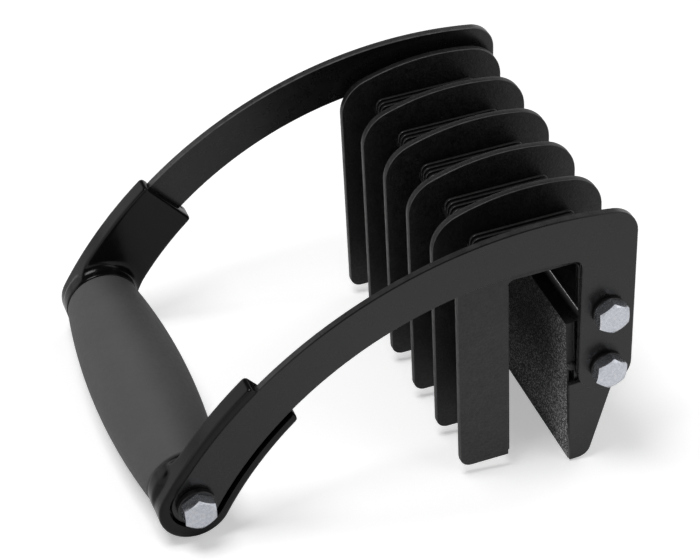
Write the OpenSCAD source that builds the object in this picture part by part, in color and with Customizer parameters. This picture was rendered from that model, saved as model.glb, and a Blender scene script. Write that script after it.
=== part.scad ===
// One-handed panel carrier: a rib frame with a fixed jaw, a lever with a cross handle,
// and a swinging jaw that closes on the panel when the handle is lifted.
// Side outlines are drawn with x to the right (handle to jaws) and y as height,
// with the ribs' feet on y = 0 and their front edges on x = 0. The whole part is then
// leaned back so that it stands on its grip and on the toe of the swinging jaw.

/* [Ribs] */
// Centre to centre spacing of the ribs
rib_pitch = 26.5; // [22:0.5:32]
// Thickness of one rib plate
rib_t = 3; // [2:0.1:4]
// Width of a rib over its arch
rib_w = 75.5; // [74.5:0.1:82]
// Height of a rib from its foot to the top of its arch
rib_h = 116.5; // [113:0.1:123]
// Radius of the arched top edge
rib_arch_r = 98; // [80:0.1:130]
// Distance of the arch's highest point from the front edge
rib_arch_x = 43; // [35:0.1:47]
// Radius of the upper front corner
rib_front_r = 16; // [8:0.5:20]
// Radius of the upper back corner
rib_back_r = 17; // [10:0.5:22]
// Radius of the foot's front corner
rib_foot_r = 5; // [1:0.5:8]
// Width of the rib's leg
rib_leg_w = 21.9; // [18:0.1:24]
// Height of the throat's ceiling above the feet
throat_h = 93.6; // [88:0.1:96]
// Fillet in the throat's upper corners
throat_r = 3; // [1:0.5:6]

/* [Pivots] */
// Distance of the lever pivot from the ribs' front edges
pivot_x = 62.8; // [61:0.1:63.5]
// Height of the lever pivot above the feet
pivot_h = 71.5; // [70.5:0.1:75]
// Distance of the jaw pivot below the lever pivot
pivot_drop = 29.2; // [28:0.1:34]
// Radius of the lug that carries the lever pivot
lug_r = 9.8; // [9:0.1:10]
// Height of the lug's back shoulder above the lever pivot
lug_shoulder = 19.1; // [10:0.1:23]
// Outside diameter of the pivot sleeve
sleeve_d = 12; // [10.5:0.1:14]
// Outside diameter of the thrust washers
thrust_d = 19; // [16:0.5:20]
// Running clearance on the radius of every pivot
running_clear = 0.05; // [0.02:0.01:0.1]

/* [Arms] */
// Thickness of one arm
arm_t = 3.5; // [3:0.1:6]
// Gap between an arm and the end rib beside it
arm_gap = 4.2; // [3.6:0.1:6]
// Distance of the upper edge's highest point behind the ribs' front edges
arm_top_x = 33.7; // [29:0.1:39]
// Height of the upper edge's highest point
arm_top_h = 123.2; // [121:0.1:127]
// Distance of the lower edge's highest point behind the ribs' front edges
arm_low_x = 27.5; // [23:0.1:31]
// Height of the lower edge's highest point
arm_low_h = 101.9; // [100:0.1:105]
// Width of the arm's leg
leg_w = 24; // [22:0.1:26]
// Forward lean of the leg, in degrees
leg_lean = 0.8; // [0:0.1:2]
// Distance of the centre of the leg's round end below the jaw pivot
leg_end_drop = 1.2; // [0:0.1:4]
// Radius of the arm's upper back corner
arm_corner_r = 12.5; // [8:0.5:16]
// Radius of the window's inner corner
window_r = 4; // [2:0.5:8]

/* [Handle] */
// Distance of the handle's axis in front of the ribs' front edges
handle_reach = 117.2; // [112:0.1:124]
// Height of the handle's axis above the feet
handle_h = 30.4; // [28:0.1:34]
// Distance of the arms' upper edge from the handle's axis
eye_top = 10.1; // [9.5:0.1:11]
// Distance of the arms' lower edge from the handle's axis
eye_low = 10.9; // [9.5:0.1:12]
// Outside diameter of the handle tube
tube_d = 16; // [12:0.5:22]
// Diameter of the grip at its middle
grip_mid_d = 42.2; // [36:0.1:46]
// Diameter of the grip at its ends
grip_end_d = 32.2; // [30:0.1:34]
// Rounding of the grip's end edges
grip_edge_r = 1.2; // [0.5:0.1:2]

/* [End caps] */
// Length of an end cap along the arm, from the handle's axis to its mouth
cap_len = 58; // [45:1:75]
// Wall of an end cap above the arm
cap_top_wall = 3.7; // [1.2:0.1:4]
// Wall of an end cap below the arm
cap_low_wall = 3.6; // [2:0.1:5]
// Wall of an end cap behind the arm
cap_back_wall = 4.6; // [3.8:0.1:6]
// Distance of the centre of the cap's round end past the handle's axis
cap_past = 2.5; // [1:0.1:4]
// Height of the cap's rim above the arm's outer face
cap_rim = 0.6; // [0.2:0.1:1.5]
// Gap above the arm in the cap's seat
seat_clear = 0.3; // [0.1:0.05:0.6]
// Gap below the arm in the cap's seat
seat_gap = 1.7; // [0.3:0.1:2.2]
// Length of the cap's collar towards the grip
collar_len = 5.6; // [4:0.1:8]
// Radius of the flare between the collar and the cap
collar_flare = 4; // [1:0.5:4]
// Height of the collar above the grip's end edge
collar_lip = 0; // [0:0.1:1]
// Rounding of the collar's outer edge
collar_edge_r = 3; // [1:0.1:3.4]

/* [Fixed jaw] */
// Thickness of the fixed jaw's steel plate
fixed_plate_t = 0.8; // [0.6:0.1:2]
// Thickness of the fixed jaw's rubber pad
fixed_pad_t = 0.8; // [0.6:0.1:2]
// Distance of the fixed jaw's ends from the end ribs' outer faces
fixed_inset = 2.6; // [0:0.1:3]
// Height of the fixed jaw's lower edge above the feet
fixed_low = 0; // [0:0.5:6]
// Gap between the fixed jaw's upper edge and the throat's fillets
fixed_gap = 1.4; // [0.5:0.1:8]

/* [Swinging jaw] */
// Distance of the pad's gripping face in front of the jaw pivot
jaw_face = 15.1; // [14.6:0.1:15.5]
// Thickness of the swinging jaw's rubber pad
jaw_pad_t = 3.4; // [3:0.1:3.8]
// Thickness of the swinging jaw's steel plate
jaw_plate_t = 2.4; // [2:0.1:2.6]
// Height of the plate and pad above the jaw pivot
jaw_up = 22.7; // [20:0.1:23]
// Depth of the plate and pad below the jaw pivot
jaw_down = 52.5; // [49:0.1:57]
// Backward lean of the jaw's toe, in degrees
jaw_lean = 1.5; // [0.8:0.1:3]
// Thickness of a jaw ear
ear_t = 2.2; // [1.8:0.1:2.6]
// Gap between a jaw ear and the arm beside it
ear_gap = 0.3; // [0.2:0.05:0.5]
// Radius of the ear round the jaw pivot
ear_boss_r = 9.4; // [9.2:0.1:11]
// Radius of the ear's toe
ear_toe_r = 6; // [3:0.1:7]
// Distance of the toe's centre behind the gripping face
ear_toe_x = 3.9; // [3:0.1:6]
// Height of the ear's toe above the pad's lower edge
ear_toe_rise = 0.7; // [0.3:0.1:2]
// Depth of the notch in the ear below the jaw pivot
ear_notch = 9.1; // [8:0.1:14]
// Distance of the notch's side in front of the jaw pivot
ear_notch_x = 9.1; // [7:0.1:9.2]
// Depth of the pockets in the pad's ends above the ears
pad_pocket = 4; // [2:0.1:8]
// Thickness of the rubber in front of a pocket
pad_skin = 1; // [0.6:0.1:2]
// Diameter of a jaw bumper
bumper_d = 3.6; // [2.6:0.1:4]
// Height of a jaw bumper above the pad's end
bumper_h = 1.6; // [1:0.1:2]
// Distance of a jaw bumper's centre behind the gripping face
bumper_back = 2.1; // [2:0.1:3]
// Depth of a jaw bumper's centre below the jaw pivot
bumper_down = 0.4; // [0:0.1:3]

/* [Saddles] */
// Distance of a saddle from the ribs' front edges
saddle_x = 15.2; // [11:0.1:19]
// Length of a saddle
saddle_len = 46.5; // [36:0.5:48]
// Thickness of a saddle's floor
saddle_floor = 3; // [2:0.1:4]
// Height of a saddle's fins above the throat's ceiling
fin_h = 7.5; // [5:0.1:12]
// Thickness of one fin
fin_t = 1.2; // [0.8:0.1:1.6]
// Spacing of the fins
fin_pitch = 2.65; // [2.2:0.05:4]
// Radius of a fin's upper corners
fin_r = 3; // [1:0.1:4]

/* [Fasteners] */
// Diameter of the bolts
bolt_d = 8; // [6:0.1:8.4]
// Clearance on the radius of a bolt hole
hole_clear = 0.2; // [0.1:0.05:0.4]
// Width across flats of the bolt heads and nuts
hex_af = 13; // [10:0.1:14]
// Height of a bolt head
head_h = 5.3; // [4:0.1:6]
// Height of a lock nut
nut_h = 5; // [4:0.1:5.2]
// Outside diameter of a pivot washer
pivot_washer_d = 14; // [12:0.1:18]
// Thickness of a pivot washer
pivot_washer_t = 1.6; // [1:0.1:3]
// Outside diameter of a handle washer
handle_washer_d = 16; // [14:0.1:18]
// Thickness of a handle washer
handle_washer_t = 2.6; // [1:0.1:3]

/* [Hidden] */
$fn = 64;
RIBS = 6;

// Colours
black_coat = [0.13, 0.13, 0.135];
black_rib = [0.09, 0.09, 0.095];
black_plastic = [0.07, 0.07, 0.072];
grey_rubber = [0.33, 0.33, 0.335];
dark_rubber = [0.16, 0.16, 0.16];
zinc = [0.78, 0.79, 0.81];
black_washer = [0.05, 0.05, 0.05];

// Lengths across the part, measured from its middle plane
rib_gap = rib_pitch - rib_t;
rib_outer = (RIBS - 1) * rib_pitch / 2 + rib_t / 2;
arm_inner = rib_outer + arm_gap;
arm_outer = arm_inner + arm_t;
cap_inner = arm_inner - cap_back_wall;
cap_outer = arm_outer + cap_rim;
grip_half = cap_inner - collar_len;
ear_outer = arm_inner - ear_gap;
ear_inner = ear_outer - ear_t;
jaw_half = ear_inner;
fixed_half = rib_outer - fixed_inset;
pivot_seat = arm_outer + pivot_washer_t;
handle_seat = arm_outer + handle_washer_t;

// Radii
bolt_r = bolt_d / 2;
hole_r = bolt_r + hole_clear;
pivot_bore_r = sleeve_d / 2 + running_clear;
jaw_bore_r = bolt_r + running_clear;
hex_r = hex_af / 2 / cos(30);
grip_r = grip_mid_d / 2;
collar_r = grip_end_d / 2 + collar_lip;

// Turn a point counterclockwise about the side view's origin
function turned(p, a) = [p.x * cos(a) - p.y * sin(a), p.x * sin(a) + p.y * cos(a)];
// Direction of the line from c to p, in degrees
function heading(c, p) = atan2(p.y - c.y, p.x - c.x);
// Points along an arc from angle a0 to a1
function arc(c, r, a0, a1, steps) =
    [for (i = [0:steps]) let (a = a0 + (a1 - a0) * i / steps) c + r * [cos(a), sin(a)]];
// Distance from p along direction u to where it leaves the circle of radius r about c
function reach(p, u, c, r) = let (w = p - c, b = w * u) sqrt(b * b - w * w + r * r) - b;
// Radius of an edge arc that is level at its highest point and runs past the handle at distance e
// on its outer side, where d leads from the highest point to the handle
function edge_r(d, e) = (d * d - e * e) / (-2 * d.y - 2 * e);
// Radius of the circle that fits between two edge arcs, its centre in direction u from the first
function inscribed(c0, r0, c1, r1, u) =
    let (w = c0 - c1, k = w * u) (w * w + 2 * r0 * k + r0 * r0 - r1 * r1) / (2 * k + 2 * r0 + 2 * r1);

// Side view points
lever_pivot = [pivot_x, pivot_h];
leg_up = [sin(leg_lean), cos(leg_lean)];
leg_back = [cos(leg_lean), -sin(leg_lean)];
jaw_pivot = lever_pivot - pivot_drop * leg_up;
handle = [-handle_reach, handle_h];
arm_top_r = edge_r(handle - [arm_top_x, arm_top_h], eye_top);
arm_low_r = edge_r(handle - [arm_low_x, arm_low_h], -eye_low);
arm_top_c = [arm_top_x, arm_top_h - arm_top_r];
arm_low_c = [arm_low_x, arm_low_h - arm_low_r];
leg_end = jaw_pivot - leg_end_drop * leg_up;
fixed_high = throat_h - throat_r - fixed_gap;
handle_top_a = heading(arm_top_c, handle);
handle_u = [cos(handle_top_a), sin(handle_top_a)];
handle_end_r = inscribed(arm_top_c, arm_top_r, arm_low_c, arm_low_r, handle_u);
handle_end_c = arm_top_c + (arm_top_r - handle_end_r) * handle_u;
handle_low_a = heading(arm_low_c, handle_end_c);
jaw_toe = jaw_pivot + turned([-jaw_face, -jaw_down], jaw_lean);

// Lean of the standing part: the floor touches the jaw's toe and the middle of the grip
toe_to_handle = handle - jaw_toe;
stand_lean = atan2(toe_to_handle.y, -toe_to_handle.x) - asin(grip_r / norm(toe_to_handle));
floor_h = turned(jaw_toe, stand_lean).y;
front_x = turned(handle, stand_lean).x - grip_r;
back_x = turned(leg_end, stand_lean).x + leg_w / 2;

// Stand the part on the floor with its box centred over the origin
module standing() {
    translate([-(front_x + back_x) / 2, 0, -floor_h])
        rotate([0, -stand_lean, 0])
            children();
}

// Extrude a side outline from y0 to y1 across the part
module across(y0, y1) {
    translate([0, y1, 0])
        rotate([90, 0, 0])
            linear_extrude(y1 - y0)
                children();
}

// Put a shape made along +z on an axis across the part, starting at y and running to +y
module on_axis(p, y) {
    translate([p.x, y, p.y])
        rotate([-90, 0, 0])
            children();
}

// Put a shape drawn about the jaw pivot in place
module at_jaw() {
    translate([jaw_pivot.x, 0, jaw_pivot.y])
        rotate([0, -jaw_lean, 0])
            children();
}

// Draw on one side of the part: -1 is the near side, 1 the far side
module on_side(side) {
    mirror([0, side < 0 ? 1 : 0, 0])
        children();
}

module tube(outer_r, inner_r, length) {
    difference() {
        cylinder(r = outer_r, h = length);
        translate([0, 0, -1])
            cylinder(r = inner_r, h = length + 2);
    }
}

// Ribs
function rib_y(i) = (i - (RIBS + 1) / 2) * rib_pitch;

module rib_outline() {
    arch_c = [rib_arch_x, rib_h - rib_arch_r];
    front_dx = rib_front_r - rib_arch_x;
    front_c = [rib_front_r, arch_c.y + sqrt(pow(rib_arch_r - rib_front_r, 2) - pow(front_dx, 2))];
    back_dx = rib_w - rib_back_r - rib_arch_x;
    back_c = [rib_w - rib_back_r, arch_c.y + sqrt(pow(rib_arch_r - rib_back_r, 2) - pow(back_dx, 2))];
    front_a = heading(arch_c, front_c);
    back_a = heading(arch_c, back_c);
    lug_front = pivot_x - lug_r;
    polygon(concat(
        [[rib_leg_w, 0]],
        arc([rib_foot_r, rib_foot_r], rib_foot_r, 270, 180, 8),
        arc(front_c, rib_front_r, 180, front_a, 12),
        arc(arch_c, rib_arch_r, front_a, back_a, 20),
        arc(back_c, rib_back_r, back_a, 0, 16),
        [[rib_w, pivot_h + lug_shoulder]],
        arc(lever_pivot, lug_r, 0, -180, 24),
        arc([lug_front - throat_r, throat_h - throat_r], throat_r, 0, 90, 6),
        arc([rib_leg_w + throat_r, throat_h - throat_r], throat_r, 90, 180, 6)));
}

module rib(i) {
    color(black_rib)
        standing()
            across(rib_y(i) - rib_t / 2, rib_y(i) + rib_t / 2)
                difference() {
                    rib_outline();
                    translate(lever_pivot)
                        circle(r = pivot_bore_r);
                }
}

// Saddles: finned blocks between the ribs that take the panel's upper edge
module fin_outline() {
    left = saddle_x;
    right = saddle_x + saddle_len;
    top = throat_h + fin_h;
    polygon(concat(
        [[left, throat_h], [right, throat_h]],
        arc([right - fin_r, top - fin_r], fin_r, 0, 90, 6),
        arc([left + fin_r, top - fin_r], fin_r, 90, 180, 6)));
}

module saddle(i) {
    middle = (rib_y(i) + rib_y(i + 1)) / 2;
    fins = floor((rib_gap - fin_t) / fin_pitch);
    first = middle - (fins - 1) * fin_pitch / 2;
    color(black_plastic)
        standing()
            union() {
                translate([saddle_x, middle - rib_gap / 2, throat_h])
                    cube([saddle_len, rib_gap, saddle_floor]);
                for (k = [0:fins - 1])
                    across(first + k * fin_pitch - fin_t / 2, first + k * fin_pitch + fin_t / 2)
                        fin_outline();
            }
}

module rib_spacer(i) {
    color(black_coat)
        standing()
            on_axis(lever_pivot, rib_y(i) + rib_t / 2)
                tube(lug_r, pivot_bore_r, rib_gap);
}

// Fixed jaw on the back edges of the ribs' legs
module fixed_layer(x, thickness) {
    translate([x, -fixed_half, fixed_low])
        cube([thickness, 2 * fixed_half, fixed_high - fixed_low]);
}

module fixed_jaw_plate() {
    color(black_coat)
        standing()
            fixed_layer(rib_leg_w, fixed_plate_t);
}

module fixed_jaw_pad() {
    color(dark_rubber)
        standing()
            fixed_layer(rib_leg_w + fixed_plate_t, fixed_pad_t);
}

// Arms
module arm_outline() {
    corner_from = lever_pivot + (leg_w / 2 - arm_corner_r) * leg_back;
    corner_c = corner_from
        + reach(corner_from, leg_up, arm_top_c, arm_top_r - arm_corner_r) * leg_up;
    window_from = lever_pivot - (leg_w / 2 + window_r) * leg_back;
    window_c = window_from
        + reach(window_from, leg_up, arm_low_c, arm_low_r - window_r) * leg_up;
    corner_a = heading(arm_top_c, corner_c);
    window_a = heading(arm_low_c, window_c);
    polygon(concat(
        arc(arm_top_c, arm_top_r, handle_top_a, corner_a, 48),
        arc(corner_c, arm_corner_r, corner_a, -leg_lean, 12),
        arc(leg_end, leg_w / 2, -leg_lean, -180 - leg_lean, 24),
        arc(window_c, window_r, -leg_lean, window_a, 8),
        arc(arm_low_c, arm_low_r, window_a, handle_low_a, 48),
        arc(handle_end_c, handle_end_r, handle_low_a + 180, handle_top_a, 20)));
}

module arm() {
    color(black_coat)
        across(arm_inner, arm_outer)
            difference() {
                arm_outline();
                for (p = [lever_pivot, jaw_pivot, handle])
                    translate(p)
                        circle(r = hole_r);
            }
}

// End caps: sockets open on the outer side, with a collar that meets the grip
module cap_outline(above, below, past, mouth) {
    degrees = 180 / PI / arm_top_r;
    mouth_a = handle_top_a - mouth * degrees;
    mouth_u = [cos(mouth_a), sin(mouth_a)];
    end_a = handle_top_a + past * degrees;
    end_u = [cos(end_a), sin(end_a)];
    top_r = arm_top_r + above;
    low_r = arm_low_r - below;
    end_r = inscribed(arm_top_c, top_r, arm_low_c, low_r, end_u);
    end_c = arm_top_c + (top_r - end_r) * end_u;
    low_a = heading(arm_low_c, end_c);
    mouth_low = arm_top_c + reach(arm_top_c, mouth_u, arm_low_c, low_r) * mouth_u;
    polygon(concat(
        arc(arm_top_c, top_r, end_a, mouth_a, 16),
        arc(arm_low_c, low_r, heading(arm_low_c, mouth_low), low_a, 16),
        arc(end_c, end_r, low_a + 180, end_a, 20)));
}

module cap_body_outline() {
    cap_outline(seat_clear + cap_top_wall, seat_gap + cap_low_wall, cap_past, cap_len);
}

module cap_seat_outline() {
    cap_outline(seat_clear, seat_gap, 0, cap_len + 10);
}

// Collar profile, starting at the grip
module collar() {
    depth = collar_len + collar_edge_r;
    rotate_extrude()
        polygon(concat(
            [[tube_d / 2, 0], [collar_r, 0]],
            arc([collar_r - collar_edge_r, collar_len], collar_edge_r, 0, 90, 6),
            [[tube_d / 2, depth]]));
}

module flare() {
    flare_r = collar_r + collar_flare;
    start = collar_len - collar_flare;
    rotate_extrude()
        polygon(concat(
            [[tube_d / 2, start]],
            arc([flare_r, start], collar_flare, 180, 90, 8),
            [[flare_r, collar_len + 1], [tube_d / 2, collar_len + 1]]));
}

module end_cap() {
    color(black_plastic)
        difference() {
            union() {
                across(cap_inner, cap_outer)
                    cap_body_outline();
                on_axis(handle, grip_half)
                    collar();
                intersection() {
                    on_axis(handle, grip_half)
                        flare();
                    across(grip_half, cap_inner + 1)
                        cap_body_outline();
                }
            }
            across(arm_inner, cap_outer + 1)
                cap_seat_outline();
            on_axis(handle, cap_inner - 1)
                cylinder(r = tube_d / 2, h = cap_back_wall + 2);
        }
}

// Handle
module handle_tube() {
    color(zinc)
        standing()
            on_axis(handle, -arm_inner)
                tube(tube_d / 2, hole_r, 2 * arm_inner);
}

module hand_grip() {
    edge_half = grip_half - grip_edge_r;
    rise = (grip_mid_d - grip_end_d) / 2;
    crown_r = (pow(edge_half, 2) + pow(rise, 2)) / (2 * rise);
    crown_c = [grip_mid_d / 2 - crown_r, 0];
    half_a = asin(edge_half / crown_r);
    edge_x = grip_end_d / 2 - grip_edge_r;
    color(grey_rubber)
        standing()
            on_axis(handle, 0)
                rotate_extrude()
                    polygon(concat(
                        [[tube_d / 2, -grip_half]],
                        arc([edge_x, -edge_half], grip_edge_r, 270, 360, 4),
                        arc(crown_c, crown_r, -half_a, half_a, 24),
                        arc([edge_x, edge_half], grip_edge_r, 0, 90, 4),
                        [[tube_d / 2, grip_half]]));
}

// Pivot pieces
module pivot_sleeve() {
    color(zinc)
        standing()
            on_axis(lever_pivot, -arm_inner)
                tube(sleeve_d / 2, hole_r, 2 * arm_inner);
}

module thrust_washers() {
    slack = 2 * running_clear;
    color(black_washer)
        standing()
            for (side = [-1, 1])
                on_side(side)
                    on_axis(lever_pivot, rib_outer + slack)
                        tube(thrust_d / 2, pivot_bore_r, arm_gap - 2 * slack);
}

// Fasteners
module hex(height) {
    rotate(30)
        cylinder(r = hex_r, h = height, $fn = 6);
}

// A bolt through both arms, its head on the near side
module long_bolt(p, seat) {
    tip = seat + head_h;
    color(zinc)
        standing()
            union() {
                on_axis(p, -tip)
                    hex(head_h);
                on_axis(p, -seat - 1)
                    cylinder(r = bolt_r, h = seat + 1 + tip);
            }
}

module washer_pair(p, d, thickness) {
    for (side = [-1, 1])
        on_side(side)
            on_axis(p, arm_outer)
                tube(d / 2, hole_r, thickness);
}

module pivot_washers() {
    color(black_washer)
        standing() {
            washer_pair(lever_pivot, pivot_washer_d, pivot_washer_t);
            washer_pair(jaw_pivot, pivot_washer_d, pivot_washer_t);
        }
}

module handle_washers() {
    color(black_washer)
        standing()
            washer_pair(handle, handle_washer_d, handle_washer_t);
}

module lock_nut(p, seat) {
    on_axis(p, seat)
        difference() {
            hex(nut_h);
            translate([0, 0, -1])
                cylinder(r = jaw_bore_r, h = nut_h + 2);
        }
}

module lock_nuts() {
    color(zinc)
        standing() {
            lock_nut(lever_pivot, pivot_seat);
            lock_nut(jaw_pivot, pivot_seat);
            lock_nut(handle, handle_seat);
        }
}

// Swinging jaw, drawn about the jaw pivot: a layer whose ends are cut back from the ears' tops
// up to a height
module jaw_layer(x, thickness) {
    translate([x, -jaw_half, -jaw_down])
        cube([thickness, 2 * jaw_half, jaw_down + jaw_up]);
}

module pad_pockets() {
    top = -bumper_down - bumper_d / 2;
    for (side = [-1, 1])
        on_side(side)
            translate([pad_skin - jaw_face, jaw_half - pad_pocket, -ear_notch])
                cube([jaw_pad_t, pad_pocket + 1, ear_notch + top]);
}

module swing_jaw_pad() {
    color(dark_rubber)
        standing()
            at_jaw()
                difference() {
                    jaw_layer(-jaw_face, jaw_pad_t);
                    pad_pockets();
                }
}

module swing_jaw_plate() {
    color(black_coat)
        standing()
            at_jaw()
                jaw_layer(jaw_pad_t - jaw_face, jaw_plate_t);
}

module ear_outline() {
    toe_c = [ear_toe_x - jaw_face, ear_toe_r + ear_toe_rise - jaw_down];
    back_a = heading(toe_c, [0, 0]) - acos((ear_toe_r - ear_boss_r) / norm(toe_c));
    difference() {
        polygon(concat(
            [[-jaw_face, -ear_notch], [-jaw_face, ear_toe_rise - jaw_down]],
            arc(toe_c, ear_toe_r, -90, back_a, 10),
            arc([0, 0], ear_boss_r, back_a, 180, 28)));
        translate([-jaw_face - ear_boss_r, -ear_notch])
            square([jaw_face + ear_boss_r - ear_notch_x, ear_notch + 2 * ear_boss_r]);
        circle(r = jaw_bore_r);
    }
}

module jaw_ear() {
    color(black_coat)
        at_jaw()
            across(ear_inner, ear_outer)
                ear_outline();
}

module jaw_bumpers() {
    color(dark_rubber)
        standing()
            at_jaw()
                for (side = [-1, 1])
                    on_side(side)
                        on_axis([bumper_back - jaw_face, -bumper_down], jaw_half)
                            cylinder(d = bumper_d, h = bumper_h);
}

for (i = [1:RIBS]) rib(i);
for (i = [1:RIBS - 1]) saddle(i);
for (i = [1:RIBS - 1]) rib_spacer(i);
fixed_jaw_plate();
fixed_jaw_pad();
standing() on_side(-1) arm();  // near_arm
standing() on_side(1) arm();  // far_arm
standing() on_side(-1) end_cap();  // near_end_cap
standing() on_side(1) end_cap();  // far_end_cap
handle_tube();
hand_grip();
pivot_sleeve();
thrust_washers();
long_bolt(lever_pivot, pivot_seat);  // lever_pivot_bolt
long_bolt(jaw_pivot, pivot_seat);  // jaw_pivot_bolt
long_bolt(handle, handle_seat);  // handle_bolt
pivot_washers();
handle_washers();
lock_nuts();
swing_jaw_plate();
swing_jaw_pad();
standing() on_side(-1) jaw_ear();  // near_jaw_ear
standing() on_side(1) jaw_ear();  // far_jaw_ear
jaw_bumpers();
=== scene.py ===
"""Looks of the one-handed panel carrier.

Sizes are in millimetres in the ribs' own frame: x from the ribs' front edges to the back, y across
and z up from their feet. Outlines are drawn in the side view, as (x, z). Each finished mesh is
leaned and moved to where the carrier stands. Sizes are those of the part's source, apart from the
edges, the fins' height, the caps' seats and mouths and the turn of one bolt's head.
"""

import math

import bmesh
import bpy
from mathutils import Matrix, Vector


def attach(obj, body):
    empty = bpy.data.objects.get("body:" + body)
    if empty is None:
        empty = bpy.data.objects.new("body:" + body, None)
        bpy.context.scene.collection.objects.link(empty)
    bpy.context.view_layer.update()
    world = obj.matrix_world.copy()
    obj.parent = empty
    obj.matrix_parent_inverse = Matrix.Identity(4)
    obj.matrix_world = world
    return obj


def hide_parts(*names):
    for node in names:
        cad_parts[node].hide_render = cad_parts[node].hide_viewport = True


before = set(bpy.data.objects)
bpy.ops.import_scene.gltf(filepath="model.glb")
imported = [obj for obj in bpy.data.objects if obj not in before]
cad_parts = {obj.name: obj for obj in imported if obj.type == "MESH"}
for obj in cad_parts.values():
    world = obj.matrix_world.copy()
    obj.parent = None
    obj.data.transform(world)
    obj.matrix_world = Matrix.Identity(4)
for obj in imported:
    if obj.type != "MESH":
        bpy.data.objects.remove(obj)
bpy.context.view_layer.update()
scene = bpy.context.scene

# Ribs
RIBS = 6
RIB_PITCH = 26.5
RIB_T = 3.0
RIB_W = 75.5
RIB_H = 116.5
RIB_ARCH_R = 98.0
RIB_ARCH_X = 43.0
RIB_FRONT_R = 16.0
RIB_BACK_R = 17.0
RIB_FOOT_R = 5.0
RIB_LEG_W = 21.9
RIB_EDGE = 0.4
THROAT_H = 93.6
THROAT_R = 3.0
LUG_R = 9.8
LUG_SHOULDER = 19.1

# Saddles between the ribs
SADDLE_X = 15.2
SADDLE_LEN = 46.5
SADDLE_FLOOR = 3.0
SADDLE_EDGE = 0.2
FIN_H = 8.2
FIN_T = 1.2
FIN_PITCH = 2.65
FIN_R = 3.0
FIN_EDGE = 0.22

# Fixed plate and its pad, behind the ribs' legs
FIXED_PLATE_T = 0.8
FIXED_PLATE_EDGE = 0.2
FIXED_PAD_T = 0.8
FIXED_PAD_EDGE = 0.35
FIXED_INSET = 2.6
FIXED_LOW = 0.0
FIXED_GAP = 1.4

# Arms
PIVOT = Vector((62.8, 71.5))
PIVOT_DROP = 29.2
ARM_T = 3.5
ARM_GAP = 4.2
ARM_TOP = Vector((33.7, 123.2))
ARM_LOW = Vector((27.5, 101.9))
ARM_CORNER_R = 12.5
ARM_EDGE = 0.42
WINDOW_R = 4.0
LEG_W = 24.0
LEG_LEAN = 0.8
LEG_END_DROP = 1.2

# Handle and end caps
HANDLE = Vector((-117.2, 30.4))
EYE_TOP = 10.1
EYE_LOW = 10.9
GRIP_R = 21.1
GRIP_END_R = 16.1
GRIP_EDGE = 1.2
TUBE_R = 8.0
CAP_LEN = 58.0
CAP_TOP_WALL = 3.7
CAP_LOW_WALL = 3.6
CAP_BACK = 4.6
CAP_PAST = 2.5
CAP_RIM = 0.6
CAP_EDGE = 0.8
CAP_VOXEL = 0.4
CAP_SMOOTHING = 14
SEAT_CLEAR = 0.3
SEAT_WIDER = 0.5
SEAT_GAP = 1.7
MOUTH_R = 1.6
COLLAR_LEN = 5.6
COLLAR_FLARE = 4.0
COLLAR_EDGE = 3.0
COLLAR_BREAK = 0.5

# Swinging jaw, about its pivot
JAW_FACE = 15.1
JAW_PAD_T = 3.4
JAW_PAD_EDGE = 0.3
JAW_PLATE_T = 2.4
JAW_PLATE_EDGE = 0.35
JAW_UP = 22.7
JAW_DOWN = 52.5
JAW_LEAN = 1.5
EAR_T = 2.2
EAR_GAP = 0.3
EAR_BOSS_R = 9.4
EAR_TOE_R = 6.0
EAR_TOE_X = 3.9
EAR_TOE_RISE = 0.7
EAR_NOTCH = 9.1
EAR_NOTCH_X = 9.1
EAR_EDGE = 0.4
PAD_POCKET = 4.0
PAD_SKIN = 1.0
BUMPER_R = 1.8
BUMPER_H = 1.6
BUMPER_BACK = 2.1
BUMPER_DOWN = 0.4
BUMPER_EDGE = 0.8

# Bolts, nuts, washers and tubes
BOLT_R = 4.0
BOLT_TIP_EDGE = 0.8
SHANK_IN_HEAD = 1.0
JAW_BOLT_TURN = -8
HEX_AF = 13.0
HEX_EDGE = 0.5
HEX_FACE_EDGE = 0.25
HEX_FACE_IN = 0.45
HEX_CHAMFER = 30
HEAD_H = 5.3
NUT_H = 5.0
PIVOT_WASHER_R = 7.0
PIVOT_WASHER_T = 1.6
HANDLE_WASHER_R = 8.0
HANDLE_WASHER_T = 2.6
SLEEVE_R = 6.0
THRUST_R = 9.5
THRUST_CLEAR = 0.1
RING_EDGE = 0.2

# Clearances, least sizes, and how far cutting shapes go past what they cut
BORE_CLEAR = 0.05
HOLE_CLEAR = 0.2
FINE_EDGE = 0.05
HAIR = 0.01
FLAT_FACING = 0.9995
OVERCUT = 1.0
SEAT_OVERCUT = 3.0
MOUTH_OVERCUT = 10.0
CONE_OVERCUT = 0.6

# Places across the part
RIB_GAP = RIB_PITCH - RIB_T
RIB_OUTER = (RIBS - 1) * RIB_PITCH / 2 + RIB_T / 2
ARM_INNER = RIB_OUTER + ARM_GAP
ARM_OUTER = ARM_INNER + ARM_T
CAP_INNER = ARM_INNER - CAP_BACK
CAP_OUTER = ARM_OUTER + CAP_RIM
GRIP_HALF = CAP_INNER - COLLAR_LEN
EAR_OUTER = ARM_INNER - EAR_GAP
EAR_INNER = EAR_OUTER - EAR_T
PIVOT_SEAT = ARM_OUTER + PIVOT_WASHER_T
HANDLE_SEAT = ARM_OUTER + HANDLE_WASHER_T


# Plane geometry, with angles in degrees
def turned(p, a):
    """The point turned about the origin."""
    a = math.radians(a)
    x = p[0] * math.cos(a) - p[1] * math.sin(a)
    y = p[0] * math.sin(a) + p[1] * math.cos(a)
    return Vector((x, y))


def unit(a):
    """The direction at an angle."""
    return Vector((math.cos(math.radians(a)), math.sin(math.radians(a))))


def heading(c, p):
    """The angle at which p is seen from c."""
    return math.degrees(math.atan2(p[1] - c[1], p[0] - c[0]))


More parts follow.
